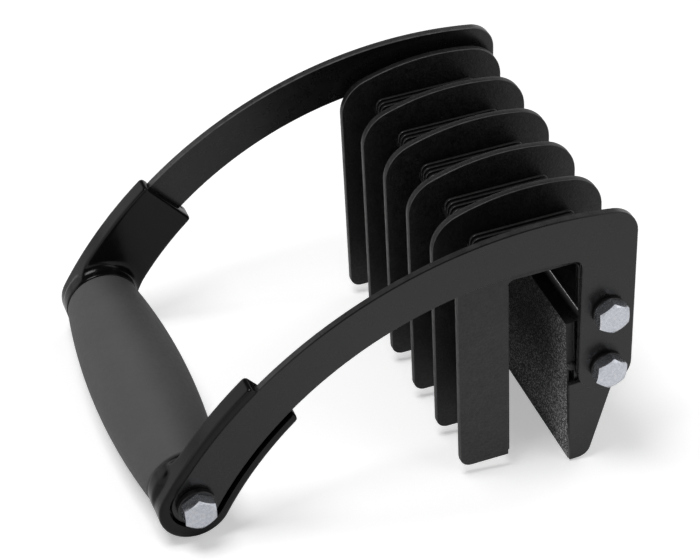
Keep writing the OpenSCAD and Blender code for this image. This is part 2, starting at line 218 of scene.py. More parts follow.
def arc(c, r, a0, a1, steps):
    """Points round a centre, from one angle to another."""
    return [Vector(c) + r * unit(a0 + (a1 - a0) * i / steps) for i in range(steps + 1)]


def circle(c, r, steps=48):
    return arc(c, r, 0, 360 - 360 / steps, steps - 1)


def reach(p, u, c, r):
    """How far it is from p, along u, to the far side of a circle."""
    w = p - c
    b = w.dot(u)
    return math.sqrt(b * b - w.dot(w) + r * r) - b


def edge_r(d, e):
    """Radius of an arm's edge that is level at its top and passes e outside the handle, d from there."""
    return (d.dot(d) - e * e) / (-2 * d.y - 2 * e)


# Places in the side view
LEG_UP = Vector((math.sin(math.radians(LEG_LEAN)), math.cos(math.radians(LEG_LEAN))))
LEG_BACK = Vector((LEG_UP.y, -LEG_UP.x))
JAW = PIVOT - PIVOT_DROP * LEG_UP
LEG_END = JAW - LEG_END_DROP * LEG_UP
TOP_R = edge_r(HANDLE - ARM_TOP, EYE_TOP)
LOW_R = edge_r(HANDLE - ARM_LOW, -EYE_LOW)
TOP_C = ARM_TOP - Vector((0, TOP_R))
LOW_C = ARM_LOW - Vector((0, LOW_R))
TOP_A = heading(TOP_C, HANDLE)

# The carrier stands on its grip and on the swinging jaw's toe
TOE = JAW + turned((-JAW_FACE, -JAW_DOWN), JAW_LEAN)
TO_HANDLE = HANDLE - TOE
STAND = math.degrees(math.atan2(TO_HANDLE.y, -TO_HANDLE.x) - math.asin(GRIP_R / TO_HANDLE.length))
FRONT_X = turned(HANDLE, STAND).x - GRIP_R
BACK_X = turned(LEG_END, STAND).x + LEG_W / 2
ROW = (
    Matrix.Scale(0.001, 4)
    @ Matrix.Translation((-(FRONT_X + BACK_X) / 2, 0, -turned(TOE, STAND).y))
    @ Matrix.Rotation(math.radians(-STAND), 4, "Y")
)
AT_JAW = Matrix.Translation((JAW.x, 0, JAW.y)) @ Matrix.Rotation(math.radians(-JAW_LEAN), 4, "Y")


# Outlines in the side view
def under_arch(arch, x, r):
    """Centre of a rib's top corner that runs into the arch."""
    return Vector((x, arch.y + math.sqrt((RIB_ARCH_R - r) ** 2 - (x - arch.x) ** 2)))


def rib_outline():
    arch = Vector((RIB_ARCH_X, RIB_H - RIB_ARCH_R))
    front = under_arch(arch, RIB_FRONT_R, RIB_FRONT_R)
    back = under_arch(arch, RIB_W - RIB_BACK_R, RIB_BACK_R)
    front_a = heading(arch, front)
    back_a = heading(arch, back)
    lug_x = PIVOT.x - LUG_R
    return (
        [Vector((RIB_LEG_W, 0))]
        + arc((RIB_FOOT_R, RIB_FOOT_R), RIB_FOOT_R, 270, 180, 8)
        + arc(front, RIB_FRONT_R, 180, front_a, 16)[:-1]
        + arc(arch, RIB_ARCH_R, front_a, back_a, 30)[:-1]
        + arc(back, RIB_BACK_R, back_a, 0, 20)
        + [Vector((RIB_W, PIVOT.y + LUG_SHOULDER))]
        + arc(PIVOT, LUG_R, 0, -180, 28)
        + arc((lug_x - THROAT_R, THROAT_H - THROAT_R), THROAT_R, 0, 90, 6)
        + arc((RIB_LEG_W + THROAT_R, THROAT_H - THROAT_R), THROAT_R, 90, 180, 6)
    )


def fin_outline():
    x0 = SADDLE_X
    x1 = SADDLE_X + SADDLE_LEN
    top = THROAT_H + FIN_H
    return (
        [Vector((x0, THROAT_H)), Vector((x1, THROAT_H))]
        + arc((x1 - FIN_R, top - FIN_R), FIN_R, 0, 90, 8)
        + arc((x0 + FIN_R, top - FIN_R), FIN_R, 90, 180, 8)
    )


def inscribed(top_r, low_r, u):
    """Radius of the round end between two edges, with its centre along u from the top edge's."""
    w = TOP_C - LOW_C
    k = w.dot(u)
    return (w.dot(w) + 2 * top_r * k + top_r**2 - low_r**2) / (2 * k + 2 * top_r + 2 * low_r)


def arm_outline():
    start = PIVOT + (LEG_W / 2 - ARM_CORNER_R) * LEG_BACK
    corner = start + reach(start, LEG_UP, TOP_C, TOP_R - ARM_CORNER_R) * LEG_UP
    start = PIVOT - (LEG_W / 2 + WINDOW_R) * LEG_BACK
    window = start + reach(start, LEG_UP, LOW_C, LOW_R - WINDOW_R) * LEG_UP
    corner_a = heading(TOP_C, corner)
    window_a = heading(LOW_C, window)
    end_r = inscribed(TOP_R, LOW_R, unit(TOP_A))
    end_c = TOP_C + (TOP_R - end_r) * unit(TOP_A)
    low_a = heading(LOW_C, end_c)
    return (
        arc(TOP_C, TOP_R, TOP_A, corner_a, 90)[:-1]
        + arc(corner, ARM_CORNER_R, corner_a, -LEG_LEAN, 16)
        + arc(LEG_END, LEG_W / 2, -LEG_LEAN, -180 - LEG_LEAN, 32)
        + arc(window, WINDOW_R, -LEG_LEAN, window_a, 10)[:-1]
        + arc(LOW_C, LOW_R, window_a, low_a, 90)[:-1]
        + arc(end_c, end_r, low_a + 180, TOP_A, 28)[:-1]
    )


def cap_outline(above, below, past, mouth):
    """The arm's front end, grown by above and below, from past its tip to the cap's mouth."""
    deg = 180 / math.pi / TOP_R
    mouth_a = TOP_A - mouth * deg
    end_a = TOP_A + past * deg
    mouth_u = unit(mouth_a)
    end_u = unit(end_a)
    top_r = TOP_R + above
    low_r = LOW_R - below
    end_r = inscribed(top_r, low_r, end_u)
    end_c = TOP_C + (top_r - end_r) * end_u
    low_a = heading(LOW_C, end_c)
    mouth_low = TOP_C + reach(TOP_C, mouth_u, LOW_C, low_r) * mouth_u
    mouth_low_a = heading(LOW_C, mouth_low)
    top_in = MOUTH_R / top_r * 180 / math.pi
    low_in = MOUTH_R / low_r * 180 / math.pi
    top_corner = TOP_C + (top_r - MOUTH_R) * unit(mouth_a + top_in)
    low_corner = LOW_C + (low_r + MOUTH_R) * unit(mouth_low_a + low_in)
    return (
        arc(TOP_C, top_r, end_a, mouth_a + top_in, 28)
        + arc(top_corner, MOUTH_R, mouth_a, mouth_a - 90, 6)
        + arc(low_corner, MOUTH_R, mouth_a - 90, mouth_a - 180, 6)
        + arc(LOW_C, low_r, mouth_low_a + low_in, low_a, 28)[1:-1]
        + arc(end_c, end_r, low_a + 180, end_a, 28)[:-1]
    )


def ear_outline():
    toe = Vector((EAR_TOE_X - JAW_FACE, EAR_TOE_R + EAR_TOE_RISE - JAW_DOWN))
    back_a = heading(toe, (0, 0)) - math.degrees(math.acos((EAR_TOE_R - EAR_BOSS_R) / toe.length))
    side_a = math.degrees(math.acos(-EAR_NOTCH_X / EAR_BOSS_R))
    return (
        [Vector((-EAR_NOTCH_X, -EAR_NOTCH)), Vector((-JAW_FACE, -EAR_NOTCH))]
        + [Vector((-JAW_FACE, EAR_TOE_RISE - JAW_DOWN))]
        + arc(toe, EAR_TOE_R, -90, back_a, 12)
        + arc((0, 0), EAR_BOSS_R, back_a, side_a, 28)
    )


# Mesh makers
def evaluated(obj):
    """The object's finished mesh. The object itself goes away."""
    scene.collection.objects.link(obj)
    dg = bpy.context.evaluated_depsgraph_get()
    mesh = bpy.data.meshes.new_from_object(obj.evaluated_get(dg))
    bpy.data.objects.remove(obj)
    return mesh


def plate(loops, y0, y1, edge, rounds=2):
    """A flat plate from closed outlines. Its edges are rounded, or chamfered where rounds is 0."""
    curve = bpy.data.curves.new("outline", "CURVE")
    curve.dimensions = "2D"
    curve.fill_mode = "BOTH"
    curve.extrude = (y1 - y0) / 2 - edge
    curve.bevel_depth = edge
    curve.offset = -edge
    curve.bevel_resolution = rounds
    for loop in loops:
        spline = curve.splines.new("POLY")
        spline.points.add(len(loop) - 1)
        for point, p in zip(spline.points, loop):
            point.co = (p[0], p[1], 0, 1)
        spline.use_cyclic_u = True
    mesh = evaluated(bpy.data.objects.new("outline", curve))
    mesh.transform(Matrix.Translation((0, (y0 + y1) / 2, 0)) @ Matrix.Rotation(math.pi / 2, 4, "X"))
    return mesh


def block(lo, hi, edge):
    """A box between two corners with rounded edges."""
    corners = ((lo[0], lo[2]), (hi[0], lo[2]), (hi[0], hi[2]), (lo[0], hi[2]))
    return plate([corners], lo[1], hi[1], edge)


def lathe(profile, centre, steps=96):
    """A closed ring of (radius, y) points turned about the line across the part through centre."""
    n = len(profile)
    verts = []
    faces = []
    for i in range(steps):
        a = 2 * math.pi * i / steps
        here = i * n
        there = (i + 1) % steps * n
        for j, (r, y) in enumerate(profile):
            k = (j + 1) % n
            verts.append((centre[0] + r * math.cos(a), y, centre[1] + r * math.sin(a)))
            faces.append((here + j, here + k, there + k, there + j))
    mesh = bpy.data.meshes.new("lathe")
    mesh.from_pydata(verts, [], faces)
    mesh.validate()
    bm = bmesh.new()
    bm.from_mesh(mesh)
    bmesh.ops.recalc_face_normals(bm, faces=bm.faces)
    bm.to_mesh(mesh)
    bm.free()
    return mesh


def ring(centre, y0, y1, r0, r1):
    """A washer or a tube with its outer edges broken."""
    e = RING_EDGE
    profile = [(r0, y0), (r1 - e, y0), (r1, y0 + e), (r1, y1 - e), (r1 - e, y1), (r0, y1)]
    return lathe(profile, centre, 64)


def rod(centre, y0, y1, end):
    """A bolt's round length, chamfered at its far end."""
    profile = [(HAIR, y0), (BOLT_R, y0), (BOLT_R, y1 - end), (BOLT_R - end, y1), (HAIR, y1)]
    return lathe(profile, centre, 48)


def joined(meshes):
    """One mesh of several, as they are."""
    bm = bmesh.new()
    for part in meshes:
        bm.from_mesh(part)
    mesh = bpy.data.meshes.new("joined")
    bm.to_mesh(mesh)
    bm.free()
    return mesh


def mirrored(mesh):
    """A copy on the other side of the middle plane."""
    copy = mesh.copy()
    copy.transform(Matrix.Scale(-1, 4, (0, 1, 0)))
    copy.flip_normals()
    return copy


def both_sides(mesh):
    return joined([mesh, mirrored(mesh)])


def cut(mesh, tool, how="DIFFERENCE"):
    """The mesh less the tool, or with INTERSECT only what is in both."""
    obj = bpy.data.objects.new("cut", mesh)
    other = bpy.data.objects.new("tool", tool)
    scene.collection.objects.link(other)
    boolean = obj.modifiers.new("cut", "BOOLEAN")
    boolean.operation = how
    boolean.object = other
    boolean.solver = "EXACT"
    out = evaluated(obj)
    bpy.data.objects.remove(other)
    return out


def moulded(mesh, voxel, passes):
    """One skin over overlapping shapes, with softened corners."""
    obj = bpy.data.objects.new("skin", mesh)
    remesh = obj.modifiers.new("skin", "REMESH")
    remesh.mode = "VOXEL"
    remesh.voxel_size = voxel
    smooth = obj.modifiers.new("soften", "SMOOTH")
    smooth.factor = 0.5
    smooth.iterations = passes
    return evaluated(obj)


def sharpen_flats(mesh):
    """Keep a plate's flat sides flat in the shading, right up to their edges."""
    flats = [abs(p.normal.y) > FLAT_FACING for p in mesh.polygons]
    sides = {}
    for p in mesh.polygons:
        for key in p.edge_keys:
            sides.setdefault(key, []).append(flats[p.index])
    for e in mesh.edges:
        kinds = sides.get(e.key, [])
        if len(kinds) == 2 and kinds[0] != kinds[1]:
            e.use_edge_sharp = True


def piece(name, mesh, body, nodes, material, flat_y=True, sharp=32):
    """Stand the mesh where the carrier stands and hand it to the frame."""
    mesh.polygons.foreach_set("use_smooth", [True] * len(mesh.polygons))
    mesh.set_sharp_from_angle(angle=math.radians(sharp))
    if flat_y:
        sharpen_flats(mesh)
    mesh.transform(ROW)
    mesh.name = name
    obj = bpy.data.objects.new(name, mesh)
    scene.collection.objects.link(obj)
    mesh.materials.clear()
    mesh.materials.append(material)
    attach(obj, body)
    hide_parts(*nodes)


# Materials, whose distances and places are in metres
WIDE = (0.3, 0.7)
NARROW = (0.35, 0.65)
CRISP = (0.38, 0.62)


class Nodes:
    """Short names for building the nodes that feed one shader."""

    def __init__(self, owner, shader):
        owner.use_nodes = True
        self.owner = owner
        self.tree = owner.node_tree
        self.shader = next(n for n in self.tree.nodes if n.type == shader)
        given = self.new("TexCoord").outputs
        self.coords = given["Object"]
        self.normal = given["Normal"]
        self.direction = given["Generated"]

    def new(self, kind):
        return self.tree.nodes.new("ShaderNode" + kind)

    def feed(self, socket, value):
        """Set a socket to a number, or link it to another node's output."""
        if isinstance(value, (int, float)):
            socket.default_value = value
        else:
            self.tree.links.new(value, socket)

    def set(self, **values):
        """Set the shader's own sockets, with _ for each space in their names."""
        for name, value in values.items():
            self.shader.inputs[name.replace("_", " ")].default_value = value

    def math(self, how, a, b=0.0):
        node = self.new("Math")
        node.operation = how
        self.feed(node.inputs[0], a)
        self.feed(node.inputs[1], b)
        return node.outputs[0]

    def mix(self, fac, a, b, kind="RGBA"):
        node = self.new("Mix")
        node.data_type = kind
        self.feed(node.inputs["Factor"], fac)
        self.feed(node.inputs["A"], a)
        self.feed(node.inputs["B"], b)
        return node.outputs["Result"]

    def axis(self, vector, letter):
        node = self.new("SeparateXYZ")
        self.feed(node.inputs[0], vector)
        return node.outputs[letter]

    def length(self, vector):
        node = self.new("VectorMath")
        node.operation = "LENGTH"
        self.feed(node.inputs[0], vector)
        return node.outputs["Value"]

    def ray(self, kind):
        """1 for rays of one kind, such as Camera or Glossy, and 0 for others."""
        return self.new("LightPath").outputs[f"Is {kind} Ray"]

    def fade(self, value, start, end, low=0.0, high=1.0):
        """A smooth step from low, where the value is at start, to high, where it is at end."""
        node = self.new("MapRange")
        node.interpolation_type = "SMOOTHSTEP"
        self.feed(node.inputs["Value"], value)
        for name, number in (("From Min", start), ("From Max", end), ("To Min", low), ("To Max", high)):
            node.inputs[name].default_value = number
        return node.outputs["Result"]

    def band(self, value, start, full):
        """1 where the value is from full to 0.85, down to 0 at start and at 0.95."""
        rise = self.fade(value, start, full)
        fall = self.fade(value, 0.85, 0.95, 1.0, 0.0)
        return self.math("MULTIPLY", rise, fall)

    def facing(self, letter):
        """How squarely the surface faces along one axis, either way, from 0 to 1."""
        return self.math("ABSOLUTE", self.axis(self.normal, letter))

    def inward(self):
        """How squarely the surface faces the carrier's middle, from -1 to 1."""
        side = self.math("SIGN", self.axis(self.coords, "Y"))
        return self.math("MULTIPLY", self.math("MULTIPLY", self.axis(self.normal, "Y"), side), -1.0)

    def noise(self, scale, detail, rough=0.55):
        node = self.new("TexNoise")
        for name, number in (("Scale", scale), ("Detail", detail), ("Roughness", rough)):
            node.inputs[name].default_value = number
        self.feed(node.inputs["Vector"], self.coords)
        return node.outputs["Fac"]

    def ramp(self, fac, *stops):
        """Colours or greys along a value. A stop is a place and what is there."""
        node = self.new("ValToRGB")
        elements = node.color_ramp.elements
        while len(elements) < len(stops):
            elements.new(0.5)
        for element, (place, tone) in zip(elements, stops):
            element.position = place
            element.color = (*tone, 1) if isinstance(tone, tuple) else (tone, tone, tone, 1)
        self.feed(node.inputs["Fac"], fac)
        return node.outputs["Color"]

    def tones(self, noise, dark, light, span=WIDE):
        """Two tones, mottled by a noise."""
        return self.ramp(noise, (span[0], dark), (span[1], light))

    def colour(self, value):
        self.feed(self.shader.inputs["Base Color"], value)

    def roughness(self, noise, low, high):
        self.feed(self.shader.inputs["Roughness"], self.tones(noise, low, high))

    def bump(self, height, strength, distance):
        node = self.new("Bump")
        self.feed(node.inputs["Strength"], strength)
        self.feed(node.inputs["Distance"], distance)
        self.feed(node.inputs["Height"], height)
        self.feed(self.shader.inputs["Normal"], node.outputs["Normal"])


def material(name):
    return Nodes(bpy.data.materials.new(name), "BSDF_PRINCIPLED")


def satin_coat():
    """Smooth black paint with painted highlights: paler rims, and paler still on slanted edges facing
    the middle.
    """
    m = material("satin_coat")
    base = m.tones(m.noise(90, 4), (0.0035, 0.0033, 0.0035), (0.0055, 0.0052, 0.0055))
    # Painted highlight: the rims and the slanted edges facing the middle are paler than the flat sides.
    rim = m.tones(m.noise(200, 3), (0.02, 0.0195, 0.02), (0.034, 0.033, 0.034), NARROW)
    painted_edge_highlight = m.tones(m.noise(220, 3), (0.06, 0.059, 0.06), (0.12, 0.118, 0.12), NARROW)
    on_rim = m.fade(m.facing("Y"), 0.1, 0.4, 1.0, 0.0)
    inner_edge = m.band(m.inward(), 0.35, 0.5)
    m.colour(m.mix(inner_edge, m.mix(on_rim, base, rim), painted_edge_highlight))
    m.roughness(m.noise(260, 3), 0.26, 0.31)
    m.bump(m.noise(1500, 2), 0.08, 0.00004)
    m.set(Specular_IOR_Level=0.42)
    return m.owner


def textured_coat():
    """Grainy black paint with a painted highlight: paler on the rounding between a plate's sides and its
    rim.
    """
    m = material("textured_coat")
    base = m.tones(m.noise(800, 4, 0.7), (0.0003, 0.0003, 0.0003), (0.010, 0.0097, 0.010), CRISP)
    # Painted highlight on the rounded edges.
    painted_edge_highlight = m.tones(m.noise(250, 3), (0.04, 0.039, 0.04), (0.09, 0.088, 0.09), NARROW)
    m.colour(m.mix(m.band(m.facing("Y"), 0.3, 0.55), base, painted_edge_highlight))
    m.roughness(m.noise(300, 3), 0.42, 0.55)
    m.bump(m.noise(1000, 3, 0.65), 0.6, 0.0002)
    m.set(Specular_IOR_Level=0.43)
    return m.owner


def saddle_plastic():
    m = material("saddle_plastic")
    m.colour(m.tones(m.noise(400, 3), (0.007, 0.0068, 0.007), (0.012, 0.0117, 0.012)))
    m.roughness(m.noise(500, 2), 0.32, 0.42)
    m.bump(m.noise(2200, 2), 0.1, 0.00005)
    m.set(Specular_IOR_Level=0.8)
    return m.owner


def cap_plastic():
    m = material("cap_plastic")
    m.colour(m.tones(m.noise(120, 3), (0.0028, 0.0027, 0.0028), (0.0042, 0.004, 0.0042)))
    m.roughness(m.noise(350, 2), 0.15, 0.21)
    m.bump(m.noise(2400, 2), 0.08, 0.00004)
    m.set(Specular_IOR_Level=0.2)
    return m.owner


def grip_rubber():
    """Grey rubber with painted light: paler on its outer side, away from the ribs, darker on the side
    toward them.
    """
    m = material("grip_rubber")
    mottle = m.noise(60, 4)
    lit_side = m.tones(mottle, (0.094, 0.092, 0.0945), (0.102, 0.100, 0.1025))
    shaded_side = m.tones(mottle, (0.058, 0.0565, 0.058), (0.064, 0.0625, 0.064))
    # Painted light and shade: the side facing -x is paler, the side facing +x darker.
    m.colour(m.mix(m.fade(m.axis(m.normal, "X"), -0.45, 0.5), lit_side, shaded_side))
    m.roughness(m.noise(500, 3), 0.62, 0.74)
    m.bump(m.noise(2600, 3, 0.6), 0.15, 0.00006)
    m.set(Specular_IOR_Level=0.35)
    return m.owner


def pad_rubber():
    """Black rubber: crumbs on the gripping face, painted paler toward its toe and ends, and plain
    elsewhere.
    """
    m = material("pad_rubber")
    grain = m.noise(1350, 3, 0.6)
    gripping = m.fade(m.facing("X"), 0.7, 0.9)
    # Painted light: the crumbs grow paler toward the toe and toward the ends.
    toward_toe = m.fade(m.axis(m.coords, "Z"), 0.018, 0.052, 0.7, 0.0)
    toward_ends = m.fade(m.math("ABSOLUTE", m.axis(m.coords, "Y")), 0.048, 0.066, 0.0, 0.5)
    darker_grain = m.ramp(
        grain,
        (0.42, (0.0005, 0.0005, 0.0005)),
        (0.52, (0.014, 0.0138, 0.014)),
        (0.62, (0.28, 0.275, 0.28)),
    )
    painted_pale_grain = m.ramp(
        grain,
        (0.42, (0.035, 0.0345, 0.035)),
        (0.52, (0.14, 0.138, 0.14)),
        (0.62, (0.85, 0.84, 0.85)),
    )
    crumbs = m.mix(m.math("ADD", toward_toe, toward_ends), darker_grain, painted_pale_grain)
    skin = m.ramp(grain, (0.4, (0.004, 0.004, 0.004)), (0.6, (0.012, 0.012, 0.012)))
    m.colour(m.mix(gripping, skin, crumbs))
    m.roughness(m.noise(800, 3), 0.5, 0.7)
    m.bump(grain, m.math("MULTIPLY", gripping, 0.8), 0.0005)
    return m.owner


def black_washer():
    m = material("black_washer")
    m.colour(m.tones(m.noise(300, 3), (0.0015, 0.0015, 0.0015), (0.003, 0.003, 0.003)))
    m.roughness(m.noise(500, 2), 0.35, 0.45)
    return m.owner


def zinc():
    m = material("zinc")
    m.colour(m.tones(m.noise(800, 4, 0.7), (0.48, 0.5, 0.55), (0.64, 0.655, 0.7), NARROW))
    m.roughness(m.noise(900, 3), 0.16, 0.3)
    m.bump(m.noise(420, 3), 0.25, 0.0001)
    m.set(Metallic=0.9)
    return m.owner


# Near-black and barely glossy: painted shade, so the bolts' shanks stay as dark as the cavity round
# them.
def shank_in_shade():
    m = material("shank_in_shade")
    m.colour(m.tones(m.noise(300, 3), (0.003, 0.003, 0.003), (0.006, 0.006, 0.006)))
    m.roughness(m.noise(700, 2), 0.4, 0.5)
    m.set(Specular_IOR_Level=0.03)
    return m.owner


SATIN = satin_coat()
TEXTURED = textured_coat()
SADDLE = saddle_plastic()
CAP = cap_plastic()
GRIP = grip_rubber()
PAD = pad_rubber()
WASHER = black_washer()
ZINC = zinc()
SHANK_SHADE = shank_in_shade()


# Rib frame
def rib_y(i):
    """The middle of a rib's thickness. Rib 1 is nearest the camera."""
    return (i - (RIBS + 1) / 2) * RIB_PITCH


def saddle(mid):
    """A floor with a row of fins, midway between two ribs."""
    lo = (SADDLE_X, mid - RIB_GAP / 2, THROAT_H)
    hi = (SADDLE_X + SADDLE_LEN, mid + RIB_GAP / 2, THROAT_H + SADDLE_FLOOR)
    parts = [block(lo, hi, SADDLE_EDGE)]
    fins = int((RIB_GAP - FIN_T) / FIN_PITCH)
    for k in range(fins):
        y = mid + (k - (fins - 1) / 2) * FIN_PITCH
        parts.append(plate([fin_outline()], y - FIN_T / 2, y + FIN_T / 2, FIN_EDGE))
    return joined(parts)


def rib_spacer(i):
    """A plain tube from rib i to the next."""
    y0 = rib_y(i) + RIB_T / 2
    y1 = rib_y(i + 1) - RIB_T / 2
    bore = SLEEVE_R + BORE_CLEAR
    return lathe([(bore, y0), (LUG_R, y0), (LUG_R, y1), (bore, y1)], PIVOT)


def fixed_layer(x0, x1, edge):
    """A flat layer across the backs of the ribs' legs."""
    half = RIB_OUTER - FIXED_INSET
    high = THROAT_H - THROAT_R - FIXED_GAP
    return block((x0, -half, FIXED_LOW), (x1, half, high), edge)


rib_loops = [rib_outline(), circle(PIVOT, SLEEVE_R + BORE_CLEAR)]
for i in range(1, RIBS + 1):
    mesh = plate(rib_loops, rib_y(i) - RIB_T / 2, rib_y(i) + RIB_T / 2, RIB_EDGE)
    piece(f"rib_look_{i}", mesh, "rib_frame", [f"rib_{i}"], TEXTURED)
for i in range(1, RIBS):
    mesh = saddle((rib_y(i) + rib_y(i + 1)) / 2)
    piece(f"saddle_look_{i}", mesh, "rib_frame", [f"saddle_{i}"], SADDLE)
    mesh = rib_spacer(i)
    piece(f"rib_spacer_look_{i}", mesh, "rib_frame", [f"rib_spacer_{i}"], TEXTURED)
plate_back = RIB_LEG_W + FIXED_PLATE_T
mesh = fixed_layer(RIB_LEG_W, plate_back, FIXED_PLATE_EDGE)
piece("fixed_plate_look", mesh, "rib_frame", ["fixed_jaw_plate"], TEXTURED)
mesh = fixed_layer(plate_back, plate_back + FIXED_PAD_T, FIXED_PAD_EDGE)
piece("fixed_pad_look", mesh, "rib_frame", ["fixed_jaw_pad"], PAD)


# Lever
def end_cap():
    """The far cap: a body and a flared collar in one skin, with the seat for the arm cut out."""
    collar_end = GRIP_HALF + COLLAR_LEN
    collar = [(TUBE_R, GRIP_HALF), (GRIP_END_R - COLLAR_BREAK, GRIP_HALF)]
    collar += [(GRIP_END_R, GRIP_HALF + COLLAR_BREAK)]
    collar += arc((GRIP_END_R - COLLAR_EDGE, collar_end), COLLAR_EDGE, 0, 90, 8)
    collar += [(TUBE_R, collar_end + COLLAR_EDGE)]
    flare_r = GRIP_END_R + COLLAR_FLARE
    flare_y = collar_end - COLLAR_FLARE
    flare = [(TUBE_R, flare_y)]
    flare += arc((flare_r, flare_y), COLLAR_FLARE, 180, 90, 8)
    flare += [(flare_r, collar_end + OVERCUT), (TUBE_R, collar_end + OVERCUT)]
    body = cap_outline(SEAT_CLEAR + CAP_TOP_WALL, SEAT_GAP + CAP_LOW_WALL, CAP_PAST, CAP_LEN)
    seat = cap_outline(SEAT_CLEAR + SEAT_WIDER, SEAT_GAP, 0, CAP_LEN + MOUTH_OVERCUT)
    within = plate([body], GRIP_HALF, CAP_INNER + OVERCUT, FINE_EDGE)
    flare_mesh = cut(lathe(flare, HANDLE), within, "INTERSECT")
    shapes = joined([plate([body], CAP_INNER, CAP_OUTER, CAP_EDGE), lathe(collar, HANDLE), flare_mesh])
    skin = moulded(shapes, CAP_VOXEL, CAP_SMOOTHING)
    return cut(skin, plate([seat], ARM_INNER, CAP_OUTER + SEAT_OVERCUT, FINE_EDGE))


def grip():
    """A barrel with one long crown and rounded ends."""
    half = GRIP_HALF - GRIP_EDGE
    rise = GRIP_R - GRIP_END_R
    crown = (half**2 + rise**2) / (2 * rise)
    half_a = math.degrees(math.asin(half / crown))
    end_r = GRIP_END_R - GRIP_EDGE
    profile = [(TUBE_R, -GRIP_HALF)]
    profile += arc((end_r, -half), GRIP_EDGE, 270, 360, 5)[:-1]
    profile += arc((GRIP_R - crown, 0), crown, -half_a, half_a, 60)
    profile += arc((end_r, half), GRIP_EDGE, 0, 90, 5)[1:]
    profile += [(TUBE_R, GRIP_HALF)]
    return lathe(profile, HANDLE, 128)


def hex_block(centre, y0, y1, chamfer_low, chamfer_high, turn=0):
    """A hexagon with chamfered corners on the ends asked for."""
    slant = math.cos(math.radians(30))
    corner = HEX_AF / 2 / slant
    inset = corner - HEX_EDGE / slant
    loop = []
    for a in range(turn, turn + 360, 60):
        loop += arc(Vector(centre) + inset * unit(a + 30), HEX_EDGE, a, a + 60, 4)
    face_r = HEX_AF / 2 - HEX_FACE_IN
    wide_r = corner + CONE_OVERCUT
    slope = (wide_r - face_r) * math.tan(math.radians(HEX_CHAMFER))
    low = y0 - HAIR
    high = y1 + HAIR
    cone = [(HAIR, low)]
    cone += [(face_r, low), (wide_r, y0 + slope)] if chamfer_low else [(wide_r, low)]
    cone += [(wide_r, y1 - slope), (face_r, high)] if chamfer_high else [(wide_r, high)]
    cone += [(HAIR, high)]
    return cut(plate([loop], y0, y1, HEX_FACE_EDGE), lathe(cone, centre, 64), "INTERSECT")


def nut(centre, seat):
    r = BOLT_R + BORE_CLEAR
    y0 = seat - OVERCUT
    y1 = seat + NUT_H + OVERCUT
    hole = lathe([(HAIR, y0), (r, y0), (r, y1), (HAIR, y1)], centre, 48)
    return cut(hex_block(centre, seat, seat + NUT_H, False, True), hole)


def washers(centres, r, thick):
    """Washers on the outsides of both arms."""
    out = []
    for centre in centres:
        far = ring(centre, ARM_OUTER, ARM_OUTER + thick, BOLT_R + HOLE_CLEAR, r)
        out += [far, mirrored(far)]
    return joined(out)


arm_loops = [arm_outline()] + [circle(p, BOLT_R + HOLE_CLEAR) for p in (PIVOT, JAW, HANDLE)]
far_arm = plate(arm_loops, ARM_INNER, ARM_OUTER, ARM_EDGE, rounds=0)
near_arm = mirrored(far_arm)
piece("far_arm_look", far_arm, "lever", ["far_arm"], SATIN)
piece("near_arm_look", near_arm, "lever", ["near_arm"], SATIN)

far_cap = end_cap()
near_cap = mirrored(far_cap)
piece("far_cap_look", far_cap, "lever", ["far_end_cap"], CAP, flat_y=False, sharp=40)
piece("near_cap_look", near_cap, "lever", ["near_end_cap"], CAP, flat_y=False, sharp=40)
piece("grip_look", grip(), "lever", ["hand_grip"], GRIP, sharp=50)

BOLTS = (
    ("lever_pivot_bolt", PIVOT, PIVOT_SEAT, 0),
    ("jaw_pivot_bolt", JAW, PIVOT_SEAT, JAW_BOLT_TURN),
    ("handle_bolt", HANDLE, HANDLE_SEAT, 0),
)
for name, centre, seat, turn in BOLTS:
    head = hex_block(centre, -seat - HEAD_H, -seat, True, False, turn)
    tip = rod(centre, seat, seat + HEAD_H, BOLT_TIP_EDGE)
    shank = rod(centre, -seat - SHANK_IN_HEAD, seat, FINE_EDGE)
    piece(name + "_look", joined([head, tip]), "lever", [name], ZINC, sharp=25)
    piece(name + "_shank_look", shank, "lever", [name], SHANK_SHADE, sharp=25)
mesh = joined([nut(centre, seat) for name, centre, seat, turn in BOLTS])
piece("lock_nuts_look", mesh, "lever", ["lock_nuts"], ZINC, sharp=25)

mesh = washers([PIVOT, JAW], PIVOT_WASHER_R, PIVOT_WASHER_T)
piece("pivot_washers_look", mesh, "lever", ["pivot_washers"], WASHER)
mesh = washers([HANDLE], HANDLE_WASHER_R, HANDLE_WASHER_T)
piece("handle_washers_look", mesh, "lever", ["handle_washers"], WASHER)
thrust = ring(PIVOT, RIB_OUTER + THRUST_CLEAR, ARM_INNER - THRUST_CLEAR, SLEEVE_R + BORE_CLEAR, THRUST_R)
piece("thrust_washers_look", both_sides(thrust), "lever", ["thrust_washers"], WASHER)
mesh = ring(PIVOT, -ARM_INNER, ARM_INNER, BOLT_R + HOLE_CLEAR, SLEEVE_R)
piece("pivot_sleeve_look", mesh, "lever", ["pivot_sleeve"], ZINC)
mesh = ring(HANDLE, -ARM_INNER, ARM_INNER, BOLT_R + HOLE_CLEAR, TUBE_R)
piece("handle_tube_look", mesh, "lever", ["handle_tube"], ZINC)


# Swinging jaw, made about its pivot
def at_jaw(mesh):
    """The mesh, moved from the jaw's pivot to where the jaw hangs."""
    mesh.transform(AT_JAW)
    return mesh


def jaw_layer(x0, x1, edge):
    """A flat layer of the jaw, between its ears."""
    return block((x0, -EAR_INNER, -JAW_DOWN), (x1, EAR_INNER, JAW_UP), edge)


